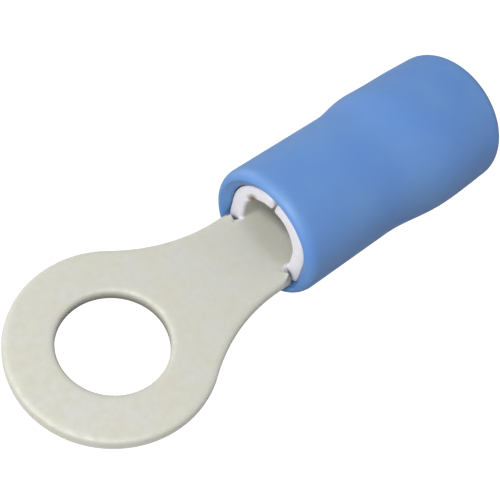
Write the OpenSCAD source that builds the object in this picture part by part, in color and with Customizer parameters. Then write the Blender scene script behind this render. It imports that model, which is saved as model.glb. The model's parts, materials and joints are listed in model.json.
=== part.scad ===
// Insulated ring terminal: a ring tongue stamped and rolled from tinned copper sheet, and its
// moulded insulating sleeve. The origin is the stud hole's centre on the tongue's underside,
// +X runs along the terminal to the wire entry, and +Z is up, away from the seating face.

/* [Ring] */
// Diameter of the stud hole
stud_hole_d = 4.3; // [3.7:0.1:5.3]
// Outside diameter of the ring
ring_d = 8.1; // [7.2:0.1:9.8]

/* [Sheet] */
// Thickness of the copper sheet
sheet_t = 0.7; // [0.55:0.05:0.85]
// Radius of the rolled-over stamped edges of the ring and neck
edge_round = 0.15; // [0.05:0.01:0.2]

/* [Neck] */
// Width of the neck between the ring and the barrel
neck_w = 3.9; // [3.2:0.1:4.7]
// Radius of the hollow that leads from the ring into the neck
neck_hollow_r = 7.5; // [5:0.1:9]
// Length of the neck from the end of its hollows to the barrel
neck_l = 0.91; // [0.7:0.01:1.6]

// Width of the metal left between the two relief notches in front of the barrel
notch_neck_w = 3.15; // [2.6:0.05:3.3]
// Length of each relief notch along the neck
notch_l = 0.22; // [0.1:0.02:0.24]

/* [Barrel] */
// Diameter of the crimp barrel's bore
barrel_bore_d = 2.7; // [2.2:0.1:3.3]
// Length of the crimp barrel
barrel_l = 4.8; // [4:0.1:6]
// Width of the gap between the rolled sheet's two edges
seam_gap = 0.2; // [0.1:0.05:0.4]
// Depth of the barrel's underside below the tongue's underside
barrel_dip = 0.69; // [0.55:0.01:0.8]
// Slight slope of the flattened floor, from the sleeve's front end to the fold
floor_slope = 5; // [3:1:8]
// Length of that floor inside the barrel, up to the fold
floor_l = 1.1; // [0.9:0.05:1.3]
// Slope of the fold that takes the floor down to the round barrel's bottom
fold_slope = 35; // [30:1:45]
// Radial growth of the barrel's front end, where its flattened floor pushes the sides out
front_swell = 0.05; // [0.02:0.01:0.08]
// Length over which the neck's corners are drawn in to the barrel, inside the sleeve
corner_l = 0.9; // [0.6:0.1:1.2]

/* [Sleeve] */
// Length of the sleeve
sleeve_l = 11.25; // [9.4:0.05:13.5]
// Distance that the sleeve's front end stands ahead of the barrel
sleeve_lead = 0.25; // [0.2:0.01:0.32]
// Radial gap between the barrel and the sleeve, which is nought where they grip
sleeve_gap = 0; // [0:0.01:0.05]
// Wall of the sleeve round the barrel
grip_wall = 0.73; // [0.6:0.01:0.9]
// Length of the flare from the grip to the wire entry
flare_l = 2.2; // [1.5:0.1:2.8]
// Bore of the wire entry
entry_bore_d = 4.7; // [4.3:0.1:5.6]
// Wall of the sleeve round the wire entry
entry_wall = 0.7; // [0.58:0.01:0.85]
// Radius of the front end's outer edge
nose_round = 0.3; // [0.1:0.01:0.32]
// Radius of the wire entry's outer edge
rim_round = 0.4; // [0.1:0.01:0.45]

/* [Hidden] */
$fn = 96;

ring_r = ring_d / 2;
neck_half = neck_w / 2;
barrel_bore_r = barrel_bore_d / 2;
barrel_r = barrel_bore_r + sheet_t;
axis_z = barrel_r - barrel_dip;

// Centre of the round hollow that touches both the ring and the neck's straight side
hollow_y = neck_half + neck_hollow_r;
hollow_x = sqrt(pow(ring_r + neck_hollow_r, 2) - pow(hollow_y, 2));
barrel_x = hollow_x + neck_l;
barrel_end = barrel_x + barrel_l;

sleeve_x = barrel_x - sleeve_lead;

// The fold's upper side meets the bottom of the bore at fold_end, and the barrel is fully round
// from just behind that.
fold_x = barrel_x + floor_l;
fold_z = (sleeve_x - fold_x) * tan(floor_slope);
fold_end = fold_x + (fold_z + sheet_t / cos(fold_slope) - axis_z + barrel_bore_r) / tan(fold_slope);
round_x = fold_end + edge_round;
neck_corner_r = norm([neck_half, axis_z]);

grip_bore_r = barrel_r + sleeve_gap;
grip_r = grip_bore_r + grip_wall;
entry_bore_r = entry_bore_d / 2;
entry_r = entry_bore_r + entry_wall;
// Flat left on the sleeve's front end between its rounded edge and its mouth
nose_flat = 0.03;
mouth_r = grip_r - nose_round - nose_flat;
// Bevel inside the wire entry
entry_bevel = 0.15;

far = 40;       // larger than the part
over = 1;       // run of a cut past the face that it breaks

// Turns a shape drawn along +Z about the barrel's axis, from x = 0.
module along_barrel() {
    translate([0, 0, axis_z])
        rotate([0, 90, 0])
            children();
}

// Half of a section whose two outer edges are rounded: x from 0 to w, y from 0 to t.
module rounded_edge_section(w, t, r) {
    square([w - r, t]);
    translate([0, r]) square([w, t - 2 * r]);
    for (y = [r, t - r])
        translate([w - r, y]) circle(r);
}

// Half section of a round cutter of radius r that leaves rounded edges on a plate of thickness t.
module edge_cutter_section(r, t, edge) {
    difference() {
        translate([0, -over]) square([r + edge, t + 2 * over]);
        translate([r + edge, edge]) circle(edge);
        translate([r + edge, t - edge]) circle(edge);
        translate([r, edge]) square([edge + over, t - 2 * edge]);
    }
}

// Plate between the ring and the straight neck, hollowed on both sides.
module shoulders() {
    reach = ring_r + edge_round + over;
    slope = hollow_y / hollow_x;
    difference() {
        linear_extrude(sheet_t)
            polygon([
                [0, 0],
                [reach / slope, reach],
                [hollow_x, reach],
                [hollow_x, -reach],
                [reach / slope, -reach]
            ]);
        for (side = [-1, 1])
            translate([hollow_x, side * hollow_y, 0])
                rotate_extrude()
                    edge_cutter_section(neck_hollow_r, sheet_t, edge_round);
    }
}

// Bar with the neck's section, from x = 0 to x = length, on the height z = 0.
module neck_bar(length) {
    rotate([90, 0, 90])
        linear_extrude(length)
            for (side = [0, 1])
                mirror([side, 0])
                    rounded_edge_section(neck_half, sheet_t, edge_round);
}

// The half of space behind (+1) or ahead (-1) of the mitre plane where the floor starts, at
// the sleeve's front end.
module beside_mitre(side) {
    translate([sleeve_x, 0, 0])
        rotate([0, floor_slope / 2, 0])
            translate([side < 0 ? -far : 0, -far / 2, -far / 2])
                cube(far);
}

// All that lies below both the floor and the fold, on the underside (height 0) or the upper
// side (height sheet_t) of the sheet.
module below_floor(height) {
    intersection() {
        translate([sleeve_x, 0, 0])
            rotate([0, floor_slope, 0])
                translate([-far, -far / 2, height - far])
                    cube([2 * far, far, far]);
        translate([fold_x, 0, fold_z])
            rotate([0, fold_slope, 0])
                translate([-far, -far / 2, height - far])
                    cube([2 * far, far, far]);
    }
}

// Straight neck, from the end of the hollows to the start of the floor.
module straight_neck() {
    intersection() {
        translate([hollow_x, 0, 0])
            neck_bar(neck_l);
        beside_mitre(-1);
    }
}

// The neck's run under the barrel, where it is the floor. Its corners stand out of the barrel
// and are drawn in to it.
module sloping_neck() {
    intersection() {
        translate([sleeve_x, 0, 0])
            rotate([0, floor_slope, 0])
                translate([-over, 0, 0])
                    neck_bar(corner_l + 2 * over);
        beside_mitre(1);
        along_barrel()
            translate([0, 0, sleeve_x - edge_round])
                cylinder(h = corner_l + edge_round, r1 = neck_corner_r + edge_round / 2, r2 = barrel_r);
    }
}

// Rod of radius r along the barrel's axis, widened at its front by the swell and flattened
// below by the floor.
module flattened_rod(r, start, end, height) {
    swell = front_swell * (round_x - start) / (round_x - barrel_x);
    difference() {
        along_barrel()
            rotate_extrude()
                polygon([[0, start], [r + swell, start], [r, round_x], [r, end], [0, end]]);
        below_floor(height);
    }
}

// Relief notches that part the neck's edges from the rolled barrel.
module relief_notches() {
    for (side = [-1, 1])
        translate([barrel_x - notch_l, side > 0 ? notch_neck_w / 2 : -far, -over])
            cube([notch_l, far - notch_neck_w / 2, far]);
}

module terminal() {
    color([0.80, 0.80, 0.77])
        difference() {
            union() {
                rotate_extrude() rounded_edge_section(ring_r, sheet_t, edge_round);
                shoulders();
                straight_neck();
                sloping_neck();
                flattened_rod(barrel_r, barrel_x, barrel_end, 0);
            }
            rotate_extrude() edge_cutter_section(stud_hole_d / 2, sheet_t, edge_round);
            flattened_rod(barrel_bore_r, barrel_x - over, barrel_end + over, sheet_t);
            relief_notches();
            translate([barrel_x - over, -seam_gap / 2, axis_z])
                cube([barrel_l + 2 * over, seam_gap, barrel_r + over]);
        }
}

// Outside of the sleeve's half section, with x the radius and y the distance from its front.
module sleeve_outline() {
    flare = barrel_end - sleeve_x;
    polygon([
        [0, 0],
        [grip_r - nose_round, 0],
        [grip_r - nose_round, nose_round],
        [grip_r, nose_round],
        [grip_r, flare],
        [entry_r, flare + flare_l],
        [entry_r, sleeve_l - rim_round],
        [entry_r - rim_round, sleeve_l - rim_round],
        [entry_r - rim_round, sleeve_l],
        [0, sleeve_l]
    ]);
    translate([grip_r - nose_round, nose_round]) circle(nose_round);
    translate([entry_r - rim_round, sleeve_l - rim_round]) circle(rim_round);
}

// Space inside the sleeve: the mouth, the grip on the barrel, the funnel and the wire entry.
module sleeve_bore() {
    flare = barrel_end - sleeve_x;
    polygon([
        [0, -over],
        [mouth_r, -over],
        [mouth_r, 0],
        [grip_bore_r + front_swell, sleeve_lead],
        [grip_bore_r, round_x - sleeve_x],
        [grip_bore_r, flare],
        [entry_bore_r, flare + flare_l],
        [entry_bore_r, sleeve_l - entry_bevel],
        [entry_bore_r + entry_bevel, sleeve_l],
        [entry_bore_r + entry_bevel, sleeve_l + over],
        [0, sleeve_l + over]
    ]);
}

module sleeve() {
    color([0.28, 0.50, 0.78])
        difference() {
            along_barrel()
                translate([0, 0, sleeve_x])
                    rotate_extrude()
                        difference() {
                            sleeve_outline();
                            sleeve_bore();
                        }
            sloping_neck();
        }
}

terminal();
sleeve();
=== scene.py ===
"""An insulated ring terminal: tinned copper sheet rolled to a barrel, in a moulded PVC sleeve."""
import json
import math

import bmesh
import bpy
from mathutils import Matrix, Vector


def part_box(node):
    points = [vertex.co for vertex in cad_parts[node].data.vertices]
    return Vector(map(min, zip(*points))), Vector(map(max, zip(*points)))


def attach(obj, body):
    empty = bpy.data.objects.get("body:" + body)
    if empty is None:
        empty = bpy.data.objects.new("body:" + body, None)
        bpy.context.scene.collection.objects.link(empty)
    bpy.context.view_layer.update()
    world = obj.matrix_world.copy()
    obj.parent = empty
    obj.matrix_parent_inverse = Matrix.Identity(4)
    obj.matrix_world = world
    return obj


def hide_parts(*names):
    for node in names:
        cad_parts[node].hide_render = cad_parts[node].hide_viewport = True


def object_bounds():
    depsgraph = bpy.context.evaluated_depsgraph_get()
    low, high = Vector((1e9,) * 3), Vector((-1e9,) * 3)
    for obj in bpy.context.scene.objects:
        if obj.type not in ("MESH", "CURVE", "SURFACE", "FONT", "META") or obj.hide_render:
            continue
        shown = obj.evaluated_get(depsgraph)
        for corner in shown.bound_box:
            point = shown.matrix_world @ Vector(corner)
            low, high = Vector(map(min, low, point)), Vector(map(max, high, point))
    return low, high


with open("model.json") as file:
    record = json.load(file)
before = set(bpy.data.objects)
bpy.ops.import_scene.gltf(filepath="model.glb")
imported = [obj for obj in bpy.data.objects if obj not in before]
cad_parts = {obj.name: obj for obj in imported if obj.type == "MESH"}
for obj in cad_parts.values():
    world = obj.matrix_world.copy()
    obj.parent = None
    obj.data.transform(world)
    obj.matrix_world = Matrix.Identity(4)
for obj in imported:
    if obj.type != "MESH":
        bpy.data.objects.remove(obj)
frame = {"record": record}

cad_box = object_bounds()

MM = 0.001

# ---------------------------------------------------------------- sizes, in millimetres
# What the frame already holds is read from it, and the rest are the terminal's own sizes.


def frame_mm(node):
    """Lowest and highest corner of a CAD node, in millimetres."""
    low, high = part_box(node)
    return low / MM, high / MM


def mount(name):
    """The record's mount of that name."""
    return next(m for m in frame["record"]["mounts"] if m["name"] == name)


TERMINAL_LOW, TERMINAL_HIGH = frame_mm("terminal")
SLEEVE_LOW, SLEEVE_HIGH = frame_mm("sleeve")

STUD_HOLE_R = mount("stud_hole")["dims"]["r_mm"]
RING_R = -TERMINAL_LOW.x
BORE_R = mount("crimp_barrel")["dims"]["r_mm"]
AXIS_Z = (SLEEVE_LOW.z + SLEEVE_HIGH.z) / 2
SHEET_T = 0.7
BARREL_R = BORE_R + SHEET_T
BARREL_L = 4.8
BARREL_END = TERMINAL_HIGH.x
BARREL_X = BARREL_END - BARREL_L
SEAM_GAP = 0.2
NECK_HALF = 1.95
HOLLOW_R = 7.5
EDGE_ROUND = 0.17          # of the stamped edges' upper side
LOWER_ROUND = 0.25         # and of their lower side, which the stamping rolls over more

SLEEVE_X = SLEEVE_LOW.x
SLEEVE_END = SLEEVE_HIGH.x
GRIP_R = 2.78
ENTRY_R = SLEEVE_HIGH.y
ENTRY_BORE_R = mount("wire_entry")["dims"]["r_mm"]
FLARE_L = 2.2              # of the funnel inside, from the barrel's end to the wire entry
ENTRY_LEAN = 0.1           # sideways, of the wire entry from the barrel's axis


def smooth(low, high, value):
    """0 below low, 1 above high, with level ends between."""
    s = min(1.0, max(0.0, (value - low) / (high - low)))
    return s * s * (3 - 2 * s)


def mix(a, b, share):
    """a at share 0, b at share 1."""
    return a + (b - a) * share


# ---------------------------------------------------------------- materials


def hex_colour(text):
    """sRGB hex, such as "#4f83c5", as linear red, green, blue and alpha."""
    parts = [int(text[i:i + 2], 16) / 255 for i in (1, 3, 5)]
    return (*(p / 12.92 if p <= 0.04045 else ((p + 0.055) / 1.055) ** 2.4 for p in parts), 1.0)


def add(tree, kind, links=None, **settings):
    """Adds a node. settings name its properties or sockets, and links name sockets to feed."""
    node = tree.nodes.new(kind)
    for name, value in settings.items():
        if hasattr(node, name):
            setattr(node, name, value)
        else:
            node.inputs[name.replace("_", " ")].default_value = value
    for name, source in (links or {}).items():
        tree.links.new(source, node.inputs[name])
    return node


def new_material(name):
    """A material with its node tree, Principled shader and object coordinates in metres."""
    material = bpy.data.materials.new(name)
    material.use_nodes = True
    tree = material.node_tree
    shader = tree.nodes["Principled BSDF"]
    place = add(tree, "ShaderNodeTexCoord").outputs["Object"]
    return material, tree, shader, place


def mottle(tree, place, patch_mm, detail=3.0, roughness=0.5):
    """A 0 to 1 cloud whose patches are about patch_mm across."""
    cloud = add(tree, "ShaderNodeTexNoise", {"Vector": place}, Scale=1 / (patch_mm * MM),
                Detail=detail, Roughness=roughness)
    return cloud.outputs["Fac"]


def blend_colours(tree, share, first, second):
    """Colour first where share is 0 and second where it is 1."""
    node = add(tree, "ShaderNodeMix", data_type="RGBA")
    sockets = node.inputs[0], node.inputs[6], node.inputs[7]
    for socket, value in zip(sockets, (share, first, second)):
        if isinstance(value, bpy.types.NodeSocket):
            tree.links.new(value, socket)
        else:
            socket.default_value = value
    return node.outputs[2]


def between(tree, value, low, high, to_low=0.0, to_high=1.0):
    """Maps value from low..high to to_low..to_high, held at the ends."""
    node = add(tree, "ShaderNodeMapRange", {"Value": value})
    for name, number in (("From Min", low), ("From Max", high),
                         ("To Min", to_low), ("To Max", to_high)):
        node.inputs[name].default_value = number
    return node.outputs["Result"]


def fleck(tree, place, centre_mm, radius_mm):
    """A soft ragged spot: 1 at its centre and 0 beyond its radius."""
    away = add(tree, "ShaderNodeVectorMath", {0: place}, operation="DISTANCE")
    away.inputs[1].default_value = Vector(centre_mm) * MM
    ragged = between(tree, mottle(tree, place, 0.3, detail=1.0), 0.3, 0.7, 0.85, 1.15)
    scaled = add(tree, "ShaderNodeMath", {0: away.outputs["Value"], 1: ragged},
                 operation="MULTIPLY")
    solid_to, gone_by = 0.4 * radius_mm * MM, radius_mm * MM
    return between(tree, scaled.outputs[0], solid_to, gone_by, 1.0, 0.0)


def electro_tinned_copper():
    """Matt electro-tinned copper sheet: an even light grey with faint warm and cool clouds,
    whiter on the barrel's cut front end as a painted highlight, darker on the punched hole's
    lower wall as painted shade, brown-dark in the crevices as painted shade, and one brown
    fleck on that end; soft reflections from its fine crystals, and no sharp highlight."""
    material, tree, shader, place = new_material("electro_tinned_copper")
    clouds = between(tree, mottle(tree, place, 0.9), 0.36, 0.64)
    grey = blend_colours(tree, clouds, hex_colour("#c9c9c3"), hex_colour("#c9c8be"))
    # Painted highlight: the barrel's cut front end is painted whiter (#dedde2).
    # Painted shade: the punched hole's lower wall is painted darker (#8b8b80).
    for name, colour in (("painted_highlight_cut", "#dedde2"), ("hole_painted_shade", "#8b8b80")):
        cut = add(tree, "ShaderNodeAttribute", attribute_name=name).outputs["Fac"]
        grey = blend_colours(tree, cut, grey, hex_colour(colour))
    # Painted shade: wherever ambient occlusion finds crevices within 0.3 mm, such as the notch,
    # seam and inner corners, the colour is painted brown-dark (#6b5340).
    open_air = add(tree, "ShaderNodeAmbientOcclusion", samples=8, Distance=0.3 * MM).outputs["AO"]
    painted_crevice_shade = between(tree, open_air, 0.22, 0.5, 1.0, 0.0)
    grey = blend_colours(tree, painted_crevice_shade, grey, hex_colour("#6b5340"))
    # A soft brown fleck on the barrel's cut front end, up on its +Y side.
    brown_fleck = fleck(tree, place, (BARREL_X + 0.02, 0.95, AXIS_Z + 0.95), 0.42)
    grey = blend_colours(tree, brown_fleck, grey, hex_colour("#8f7468"))
    tree.links.new(grey, shader.inputs["Base Color"])
    shader.inputs["Metallic"].default_value = 1.0
    grain = mottle(tree, place, 0.35)
    tree.links.new(between(tree, grain, 0.3, 0.7, 0.82, 0.9), shader.inputs["Roughness"])
    crystals = mottle(tree, place, 0.12, detail=2.0)
    bump = add(tree, "ShaderNodeBump", {"Height": crystals}, Strength=0.25, Distance=0.004 * MM)
    tree.links.new(bump.outputs["Normal"], shader.inputs["Normal"])
    return material


def moulded_soft_pvc():
    """Injection-moulded soft PVC: medium blue with a satin skin that scatters a little light
    below its surface, and faint flow clouds from the mould."""
    material, tree, shader, place = new_material("moulded_soft_pvc")
    clouds = between(tree, mottle(tree, place, 2.2), 0.35, 0.65)
    blue = blend_colours(tree, clouds, hex_colour("#4f78b2"), hex_colour("#557db0"))
    tree.links.new(blue, shader.inputs["Base Color"])
    shader.inputs["IOR"].default_value = 1.53
    shader.inputs["Subsurface Weight"].default_value = 0.15
    shader.inputs["Subsurface Radius"].default_value = (0.2, 0.3, 0.6)
    shader.inputs["Subsurface Scale"].default_value = 0.5 * MM
    skin = mottle(tree, place, 0.5)
    tree.links.new(between(tree, skin, 0.3, 0.7, 0.52, 0.62), shader.inputs["Roughness"])
    bump = add(tree, "ShaderNodeBump", {"Height": skin}, Strength=0.2, Distance=0.01 * MM)
    tree.links.new(bump.outputs["Normal"], shader.inputs["Normal"])
    return material


# ---------------------------------------------------------------- the stamped and rolled sheet

HOLLOW_Y = NECK_HALF + HOLLOW_R
HOLLOW_X = math.sqrt((RING_R + HOLLOW_R) ** 2 - HOLLOW_Y ** 2)
TANGENT = math.atan2(HOLLOW_Y, HOLLOW_X)      # where the ring runs into the hollows
MEAN_R = BARREL_R - SHEET_T / 2               # of the rolled sheet's middle
BLANK_HALF = math.pi * MEAN_R - SEAM_GAP / 2  # half width of the barrel's flat blank
DIP = BARREL_R - AXIS_Z                       # of the barrel below the tongue's underside
FLOOR_FALL = 0.12                             # of the barrel's floor, from its start to the fold
FOLD_X = BARREL_X + 1.25                      # where the fold starts in the sheet's middle
FOLD_RUN = 0.81                               # over which it reaches the round barrel's bottom
BEND_R = 0.5                                  # of the barrel's lower corners at its front
CORNER_R = 0.3                                # of the front's square outer corners
CORNER_END = 8.4                              # where those have run out into the barrel
CURL_START = 7.2                              # the neck's edges start to curl up here
NOTCH_W = 0.2                                 # of the relief notch between neck and barrel


def half_width(x, inset):
    """Half width of the neck at x, inset from its edge."""
    if x >= HOLLOW_X:
        return NECK_HALF - inset
    return HOLLOW_Y - math.sqrt((HOLLOW_R + inset) ** 2 - (x - HOLLOW_X) ** 2)


def flat_pattern(inset):
    """The flat blank, inset from its edge all round: points [x, across] and four-sided faces."""
    points, faces = [], []

    def grid(rows, close=False):
        """Adds rows of points and the faces between them, and returns the points' numbers."""
        numbers = []
        for row in rows:
            numbers.append([])
            for p in row:
                numbers[-1].append(p if isinstance(p, int) else len(points))
                if not isinstance(p, int):
                    points.append(p)
        for a, b in zip(numbers, numbers[1:]):
            for i in range(len(a) if close else len(a) - 1):
                j = (i + 1) % len(a)
                faces.append((a[i], b[i], b[j], a[j]))
        return numbers

    across, round_back, ring_rows, neck_rows, barrel_rows, wing_rows = 48, 112, 7, 34, 26, 30
    angles = [mix(-TANGENT, TANGENT, i / across) for i in range(across + 1)]
    angles += [mix(TANGENT, 2 * math.pi - TANGENT, i / round_back) for i in range(1, round_back)]
    inner, outer = STUD_HOLE_R + inset, RING_R - inset
    ring = grid([[(mix(inner, outer, j / ring_rows) * math.cos(a),
                   mix(inner, outer, j / ring_rows) * math.sin(a)) for a in angles]
                 for j in range(ring_rows + 1)], close=True)

    start = ring[-1][:across + 1]
    side_x, corner_x = outer * math.cos(TANGENT), BARREL_X - NOTCH_W - inset
    rows = [start]
    for j in range(1, neck_rows + 1):
        u = j / neck_rows
        half = half_width(mix(side_x, corner_x, u), inset)
        row = []
        for i, a in enumerate(angles[:across + 1]):
            v = mix(math.sin(a) / math.sin(TANGENT), 2 * i / across - 1, u)
            row.append((mix(outer * math.cos(a), corner_x, u), half * v))
        rows.append(row)
    neck = grid(rows)

    # Between the relief notches only the middle of the neck goes on to the barrel.
    cut = 5
    lines = [(NECK_HALF - inset) * (2 * i / across - 1) for i in range(cut, across - cut + 1)]
    bridge_rows = 6
    middle = grid([neck[-1][cut:-cut]]
                  + [[(mix(corner_x, BARREL_X + inset, j / bridge_rows), s) for s in lines]
                     for j in range(1, bridge_rows + 1)])

    wing = [mix(lines[-1], BLANK_HALF - inset, i / wing_rows) for i in range(1, wing_rows + 1)]
    end_x = BARREL_X + inset
    front = [(end_x, -s) for s in reversed(wing)] + middle[-1] + [(end_x, s) for s in wing]
    lines = [-s for s in reversed(wing)] + lines + wing
    rows = [front]
    for j in range(1, barrel_rows + 1):
        x = mix(end_x, BARREL_END - inset, j / barrel_rows)
        rows.append([(x, s) for s in lines])
    grid(rows)
    return points, faces


def rounded_rim(steps):
    """Stations from the upper face's edge round to the lower's: [outward, height]."""
    stations = []
    for upper, r in ((1, EDGE_ROUND), (-1, LOWER_ROUND)):
        for i in range(steps + 1):
            a = math.radians(90 * (i / steps if upper > 0 else 1 - i / steps))
            stations.append((LOWER_ROUND - r * (1 - math.sin(a)),
                             upper * (SHEET_T / 2 - r * (1 - math.cos(a)))))
    return stations


def ramp(x, start, end, ease):
    """Runs straight from 0 at start to 1 at end, with both corners rounded over ease."""
    def corner(d):
        return max(0.0, d) if abs(d) >= ease else (d + ease) ** 2 / (4 * ease)
    return (corner(x - start) - corner(x - end)) / (end - start)


def section(x):
    """The sheet's middle at x: floor height, side half width and lower corner radius, and
    the outer skin's own corner radius. The flat-bottomed front, which is pressed square
    outside, turns into a full circle with the same length of sheet."""
    fall = FLOOR_FALL * ramp(x, SLEEVE_X, FOLD_X, 0.1)
    fall += (DIP - FLOOR_FALL) * ramp(x, FOLD_X, FOLD_X + FOLD_RUN, 0.15)
    floor = SHEET_T / 2 - fall
    bend = mix(BEND_R, MEAN_R, (fall / DIP) ** 2)
    side = (math.pi * MEAN_R - (AXIS_Z - floor) + (2 - math.pi / 2) * bend) / (1 + math.pi / 2)
    return floor, side, bend, mix(CORNER_R, bend + SHEET_T / 2, smooth(BARREL_X, CORNER_END, x))


def square_reach(size, corner, turn):
    """Distance from a square's middle to its side or rounded corner, at an angle from 0 to 90
    degrees. The square's half width is size."""
    out, down = abs(math.cos(turn)), abs(math.sin(turn))
    if max(out, down) * (size - corner) >= size * min(out, down):
        return size / max(out, down)
    across = (size - corner) * (out - down)
    return (size - corner) * (out + down) + math.sqrt(corner ** 2 - across ** 2)


def rolled(x, s, up):
    """Where a point of the flat blank goes: x along, s across, up from the sheet's middle."""
    floor, side, bend, corner = section(x)
    folded = max(1e-4, smooth(CURL_START, BARREL_X - 0.05, x))
    radius = bend / folded
    past = abs(s) - (side - bend)
    wall = AXIS_Z - floor - bend
    turn = folded * min(max(past / bend, 0), math.pi / 2)
    if up < 0:
        square = square_reach(bend + SHEET_T / 2, corner, turn) - bend
        up *= mix(1, square / (SHEET_T / 2), folded)
    y = min(abs(s), side - bend) + radius * math.sin(turn)
    z = floor + radius * (1 - math.cos(turn))
    past -= bend * math.pi / 2
    if past > 0:
        y += past * math.cos(turn)
        z += past * math.sin(turn)
    if past > wall and folded == 1:
        turn = math.pi / 2 + (past - wall) / side
        y, z = side * math.sin(turn), AXIS_Z - side * math.cos(turn)
    return Vector((x, math.copysign(y - up * math.sin(turn), s), z + up * math.cos(turn)))


def barrel_reach(x, turn):
    """Distance from the axis to the barrel's outer skin at x, at an angle round the axis."""
    floor, side, _, corner = section(x)
    width, depth = side + SHEET_T / 2, AXIS_Z - floor + SHEET_T / 2
    out, down = abs(math.cos(turn)), -math.sin(turn)
    if down <= 0:
        return width
    if width * down <= (depth - corner) * out:
        return width / out
    if depth * out <= (width - corner) * down:
        return max(BARREL_R, depth / down)
    along = (width - corner) * out + (depth - corner) * down
    across = (width - corner) * down - (depth - corner) * out
    return max(BARREL_R, along + math.sqrt(corner ** 2 - across ** 2))


def terminal_mesh():
    """The whole blank as one closed skin with rounded stamped edges, rolled to shape."""
    points, faces = flat_pattern(LOWER_ROUND)
    mesh = bmesh.new()
    # Mask for the painted highlight on the barrel's cut front end.
    painted_highlight_cut = mesh.verts.layers.float.new("painted_highlight_cut")
    # Mask for the painted shade on the punched hole's lower wall.
    hole_painted_shade = mesh.verts.layers.float.new("hole_painted_shade")
    flat = [mesh.verts.new((x, s, 0)) for x, s in points]
    for f in faces:
        mesh.faces.new([flat[i] for i in f])
    bmesh.ops.recalc_face_normals(mesh, faces=mesh.faces[:])
    mesh.verts.index_update()
    if sum(f.normal.z for f in mesh.faces) < 0:
        bmesh.ops.reverse_faces(mesh, faces=mesh.faces[:])

    # Mitred outward direction at each point of the blank's edges
    outward = {}
    for edge in mesh.edges:
        if edge.is_boundary:
            loop = edge.link_loops[0]
            along = (loop.link_loop_next.vert.co - loop.vert.co).normalized()
            for vert in edge.verts:
                outward.setdefault(vert, []).append((Vector((along.y, -along.x, 0)), loop))
    lower = {v: mesh.verts.new((v.co.x, v.co.y, -SHEET_T / 2)) for v in flat}
    upper_faces = mesh.faces[:]
    for v in flat:
        v.co.z = SHEET_T / 2
    for face in upper_faces:
        mesh.faces.new([lower[v] for v in reversed(face.verts)])

    rim_steps = 5
    stations = rounded_rim(rim_steps)[1:-1]
    rim = {}
    for v, sides in outward.items():
        mitre = sides[0][0] + sides[1][0]
        mitre *= 2 / mitre.length_squared
        rim[v] = [v] + [mesh.verts.new((v.co.x + out * mitre.x, v.co.y + out * mitre.y, up))
                        for out, up in stations] + [lower[v]]
    for edge in [e for e in mesh.edges if e.verts[0] in rim and e.verts[1] in rim
                 and len(e.link_faces) == 1 and e.verts[0].co.z > 0]:
        loop = edge.link_loops[0]
        a, b = rim[loop.vert], rim[loop.link_loop_next.vert]
        for k in range(len(a) - 1):
            mesh.faces.new((b[k], a[k], a[k + 1], b[k + 1]))
    for column in rim.values():
        for v in column[1:-1]:
            # Painted highlight: rim points at the barrel's cut front end get the whiter paint.
            v[painted_highlight_cut] = smooth(CURL_START, BARREL_X, v.co.x)
            # Painted shade: rim points low in the punched hole's wall get the darker paint.
            if math.hypot(v.co.x, v.co.y) < (STUD_HOLE_R + RING_R) / 2:
                v[hole_painted_shade] = smooth(0.22, 0.0, v.co.z)
    for v in mesh.verts:
        v.co = rolled(v.co.x, v.co.y, v.co.z) * MM
    return mesh


# ---------------------------------------------------------------- the moulded sleeve


def sleeve_profile(turn):
    """Section of the sleeve at an angle round its axis: closed list of [x, radius]."""
    near = (1 - math.cos(turn)) / 2          # 0 on the +Y side, 1 on the -Y side
    flare_from = mix(12.5, 12.1, near)
    flare_to = mix(14.2, 15.9, near)
    nose, nose_run, rim, lip = 0.3, 0.5, 0.45, 0.15
    nose_flat = 0.03
    mouth = GRIP_R - nose - nose_flat

    def outside(x):
        r = mix(GRIP_R, ENTRY_R, smooth(flare_from, flare_to, x))
        return r - 0.06 * smooth(16.2, SLEEVE_END, x)

    profile = []
    for i in range(9):                        # rounded nose
        a = math.radians(90 * i / 8)
        profile.append((SLEEVE_X + nose_run * (1 - math.sin(a)),
                        GRIP_R - nose * (1 - math.cos(a))))
    profile.reverse()
    for i in range(1, 41):                    # grip, flare and entry
        x = mix(SLEEVE_X + nose_run, SLEEVE_END - rim, i / 40)
        profile.append((x, outside(x)))
    for i in range(1, 9):                     # rounded rim
        a = math.radians(90 * i / 8)
        profile.append((SLEEVE_END - rim * (1 - math.sin(a)),
                        outside(SLEEVE_END - rim) - rim * (1 - math.cos(a))))
    for i in range(5):                        # inner edge of the rim
        a = math.radians(90 * i / 4)
        profile.append((SLEEVE_END - lip * (1 - math.cos(a)),
                        ENTRY_BORE_R + lip * (1 - math.sin(a))))
    for i in range(1, 13):                    # wire entry
        profile.append((mix(SLEEVE_END - lip, BARREL_END + FLARE_L, i / 12), ENTRY_BORE_R))
    for i in range(1, 9):                     # funnel down to the barrel
        profile.append((mix(BARREL_END + FLARE_L, BARREL_END, i / 8),
                        mix(ENTRY_BORE_R, BARREL_R, i / 8)))
    for i in range(1, 25):                    # grip on the barrel
        x = mix(BARREL_END, BARREL_X, i / 24)
        profile.append((x, barrel_reach(x, turn)))
    for i in range(1, 5):                     # bevelled mouth
        profile.append((mix(BARREL_X, SLEEVE_X, i / 4),
                        mix(barrel_reach(BARREL_X, turn), mouth, i / 4)))
    return profile


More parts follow.
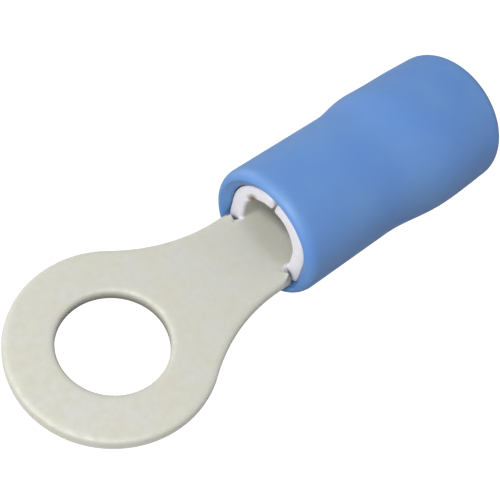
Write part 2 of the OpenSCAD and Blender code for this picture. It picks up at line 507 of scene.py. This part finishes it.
def sleeve_mesh():
    """The sleeve's skin, swept round the barrel's axis."""
    mesh = bmesh.new()
    turns = 144
    rings = []
    for j in range(turns):
        turn = 2 * math.pi * j / turns
        ring = []
        for x, r in sleeve_profile(turn):
            shift = -ENTRY_LEAN * smooth(12.5, 15.5, x)
            ring.append(mesh.verts.new(Vector((x, r * math.cos(turn) + shift,
                                               AXIS_Z + r * math.sin(turn))) * MM))
        rings.append(ring)
    for a, b in zip(rings, rings[1:] + rings[:1]):
        for i in range(len(a)):
            k = (i + 1) % len(a)
            mesh.faces.new((a[i], a[k], b[k], b[i]))
    return mesh


def piece(name, mesh, material, node):
    """Makes a smooth-shaded piece from mesh, which stands for a CAD node."""
    bmesh.ops.recalc_face_normals(mesh, faces=mesh.faces[:])
    data = bpy.data.meshes.new(name)
    mesh.to_mesh(data)
    mesh.free()
    data.shade_smooth()
    data.materials.append(material)
    made = bpy.data.objects.new(name, data)
    bpy.context.scene.collection.objects.link(made)
    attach(made, "root")
    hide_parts(node)
    return made


piece("rolled_terminal", terminal_mesh(), electro_tinned_copper(), "terminal")
piece("moulded_sleeve", sleeve_mesh(), moulded_soft_pvc(), "sleeve")

# ---------------------------------------------------------------- floor, light and camera


def pale_floor():
    """A plain pale floor that the part stands on, white where it is seen directly."""
    material, tree, shader, place = new_material("pale_floor")
    shader.inputs["Base Color"].default_value = hex_colour("#b0b0b0")
    shader.inputs["Roughness"].default_value = 0.9
    white = add(tree, "ShaderNodeEmission", Strength=1.1)
    seen = add(tree, "ShaderNodeLightPath").outputs["Is Camera Ray"]
    both = add(tree, "ShaderNodeMixShader", {"Fac": seen})
    tree.links.new(shader.outputs[0], both.inputs[1])
    tree.links.new(white.outputs[0], both.inputs[2])
    tree.links.new(both.outputs[0], tree.nodes["Material Output"].inputs["Surface"])
    side = 400 * MM
    data = bpy.data.meshes.new("floor")
    corners = [(-side, -side, 0), (side, -side, 0), (side, side, 0), (-side, side, 0)]
    data.from_pydata(corners, [], [(0, 1, 2, 3)])
    data.materials.append(material)
    floor = bpy.data.objects.new("floor", data)
    floor.location.z = cad_box[0].z
    bpy.context.scene.collection.objects.link(floor)


def soft_box(name, azimuth, elevation, distance_mm, size_mm, watts):
    """A square soft light that faces the part from a direction round it."""
    data = bpy.data.lights.new(name, "AREA")
    data.size = size_mm * MM
    data.energy = watts
    light = bpy.data.objects.new(name, data)
    a, e = math.radians(azimuth), math.radians(elevation)
    back = Vector((math.sin(a) * math.cos(e), -math.cos(a) * math.cos(e), math.sin(e)))
    light.location = Vector((7, 0, 0)) * MM + back * distance_mm * MM
    light.rotation_mode = "QUATERNION"
    light.rotation_quaternion = (-back).to_track_quat("-Z", "Y")
    bpy.context.scene.collection.objects.link(light)


def camera():
    """Looks down on the part from beyond the ring, turned a little about its own axis."""
    azimuth, elevation, roll = map(math.radians, (-55.67, 55.0, 16.6))
    look_at = Vector((6.473, -0.241, AXIS_Z)) * MM
    distance = 43.5 * MM
    data = bpy.data.cameras.new("camera")
    data.sensor_width = 36
    data.lens = 80.3
    data.clip_start, data.clip_end = 1 * MM, 2.0
    back = Vector((math.sin(azimuth) * math.cos(elevation),
                   -math.cos(azimuth) * math.cos(elevation), math.sin(elevation)))
    made = bpy.data.objects.new("camera", data)
    made.location = look_at + back * distance
    made.rotation_mode = "QUATERNION"
    level = (-back).to_track_quat("-Z", "Y")
    made.rotation_quaternion = level @ Matrix.Rotation(roll, 4, "Z").to_quaternion()
    bpy.context.scene.collection.objects.link(made)
    bpy.context.scene.camera = made


def soft_daylight():
    """Even surroundings: white to the eye, pale in reflections and dimmer as light."""
    world = bpy.data.worlds.new("surroundings")
    world.use_nodes = True
    tree = world.node_tree
    backdrop = tree.nodes["Background"]
    ray = add(tree, "ShaderNodeLightPath")
    light, reflection, seen = map(hex_colour, ("#717273", "#adaeaf", "#ffffff"))
    colour = blend_colours(tree, ray.outputs["Is Glossy Ray"], light, reflection)
    colour = blend_colours(tree, ray.outputs["Is Camera Ray"], colour, seen)
    tree.links.new(colour, backdrop.inputs["Color"])
    backdrop.inputs["Strength"].default_value = 1.2
    bpy.context.scene.world = world


pale_floor()
soft_daylight()
soft_box("edge", azimuth=30, elevation=18, distance_mm=150, size_mm=60, watts=0.02)
soft_box("key", azimuth=-84, elevation=53, distance_mm=150, size_mm=80, watts=0.34)
soft_box("rim", azimuth=180, elevation=6, distance_mm=150, size_mm=60, watts=0.1)
camera()
bpy.context.scene.view_settings.view_transform = "Standard"
